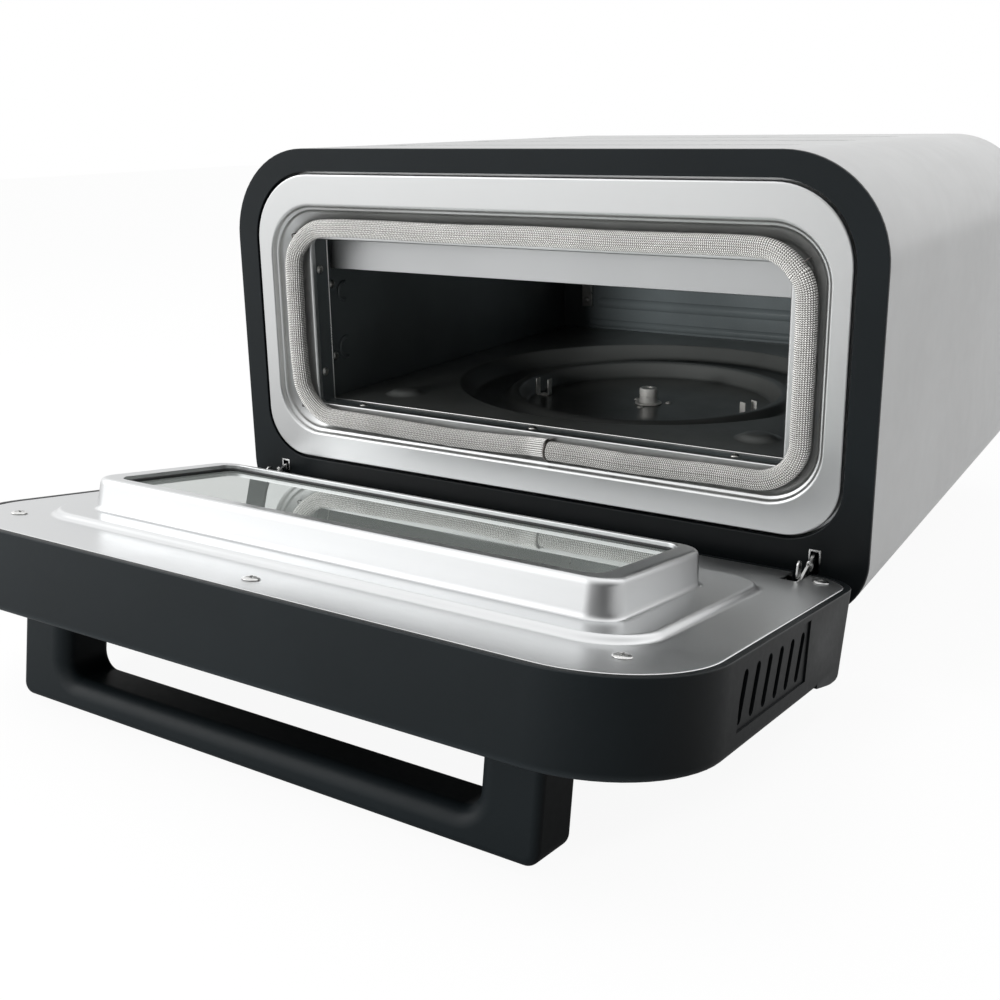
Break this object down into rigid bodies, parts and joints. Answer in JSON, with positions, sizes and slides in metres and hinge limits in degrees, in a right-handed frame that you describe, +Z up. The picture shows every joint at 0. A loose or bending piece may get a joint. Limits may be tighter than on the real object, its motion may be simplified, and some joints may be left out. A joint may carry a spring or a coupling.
{
  "type": "electric pizza oven",
  "caption": "Table-top electric pizza oven with a rounded sheet casing, a gasketed mouth, a pressed floor with a round well and a drop-down door with a bar handle.",
  "frame": {"origin": "on the table, at the middle of the space that the oven takes with its door open", "axes": "+X to the right of someone who faces the mouth, +Y into the oven, +Z up"},
  "size_m": [0.46, 0.6934, 0.2948],
  "materials": {
    "casing_paint": "satin silver-grey paint",
    "black_shell": "fine matt black, moulded",
    "pressed_steel": "pressed steel with a fine satin silver finish",
    "dark_enamel": "dark grey non-stick enamel",
    "zinc_steel": "zinc-plated steel",
    "spring_steel": "drawn wire and sheathed rod",
    "inner_glass": "clear tempered glass",
    "outer_glass": "dark tempered glass",
    "braided_seal": "braided glass-fibre and steel-wire sleeve",
    "mineral_wool": "white insulation blanket",
    "circuit_board": "green circuit board",
    "foot_rubber": "matt black rubber",
    "knob_plastic": "satin black"
  },
  "bodies": {
    "body": {"outer_casing": "casing_paint", "front_frame": "black_shell", "front_panel": "pressed_steel", "opening_collar": "dark_enamel", "cavity_liner": "dark_enamel", "floor_pan": "dark_enamel", "ceiling_baffle": "pressed_steel", "door_gasket": "braided_seal", "gasket_clip": "spring_steel", "base_plate": "zinc_steel", "rear_cover": "casing_paint", "cord_gland": "black_shell", "insulation_blanket": "mineral_wool", "upper_element": "spring_steel", "lower_element": "spring_steel", "stone_bracket_left": "zinc_steel", "stone_bracket_right": "zinc_steel", "centre_post": "zinc_steel", "hinge_arm_left": "zinc_steel", "hinge_arm_right": "zinc_steel", "link_guide_left": "zinc_steel", "link_guide_right": "zinc_steel", "foot_front_left": "foot_rubber", "foot_front_right": "foot_rubber", "foot_back_left": "foot_rubber", "foot_back_right": "foot_rubber", "thermal_cutout": "black_shell", "terminal_block": "mineral_wool"},
    "door": {"door_cover": "black_shell", "door_inner_panel": "pressed_steel", "inner_glass": "inner_glass", "glass_clamp": "zinc_steel", "outer_glass": "outer_glass", "door_handle": "black_shell", "handle_screw_left": "zinc_steel", "handle_screw_right": "zinc_steel", "panel_screw_left_top": "zinc_steel", "panel_screw_middle_top": "zinc_steel", "panel_screw_right_top": "zinc_steel", "panel_screw_left_bottom": "zinc_steel", "panel_screw_right_bottom": "zinc_steel", "hinge_bracket_left": "zinc_steel", "hinge_bracket_right": "zinc_steel", "hinge_pin_left": "spring_steel", "hinge_pin_right": "spring_steel", "link_pin_left": "spring_steel", "link_pin_right": "spring_steel", "control_board": "circuit_board"},
    "left_link": {"link_left": "zinc_steel", "link_spring_left": "spring_steel"},
    "right_link": {"link_right": "zinc_steel", "link_spring_right": "spring_steel"},
    "temperature_dial": {"temperature_knob": "knob_plastic", "temperature_shaft": "zinc_steel"},
    "timer_dial": {"timer_knob": "knob_plastic", "timer_shaft": "zinc_steel"},
    "button": {"start_button": "zinc_steel"}
  },
  "joints": [
    {"name": "door_hinge", "type": "hinge", "parent": "body", "child": "door", "pos_m": [0, -0.09671, 0.0439], "axis": [-1, 0, 0], "range_deg": [0, 80.5]},
    {"name": "left_link_pivot", "type": "hinge", "parent": "door", "child": "left_link", "pos_m": [-0.1986, -0.09585, 0.05937], "axis": [1, 0, 0], "range_deg": [0, 95]},
    {"name": "right_link_pivot", "type": "hinge", "parent": "door", "child": "right_link", "pos_m": [0.1986, -0.09585, 0.05937], "axis": [1, 0, 0], "range_deg": [0, 95]},
    {"name": "temperature_turn", "type": "hinge", "parent": "door", "child": "temperature_dial", "pos_m": [-0.105, -0.13841, 0.02315], "axis": [0, 0.3121, 0.95], "range_deg": [0, 270]},
    {"name": "timer_turn", "type": "hinge", "parent": "door", "child": "timer_dial", "pos_m": [0.105, -0.13841, 0.02315], "axis": [0, 0.3121, 0.95], "range_deg": [0, 300]},
    {"name": "button_press", "type": "slide", "parent": "door", "child": "button", "axis": [0, 0.3121, 0.95], "range_m": [0, 0.0015], "stiffness_N_per_m": 400, "springref_m": -0.0005}
  ],
  "couplings": [
    {"joint": "left_link_pivot", "follows": "door_hinge", "ratio": 1.163},
    {"joint": "right_link_pivot", "follows": "door_hinge", "ratio": 1.163}
  ]
}
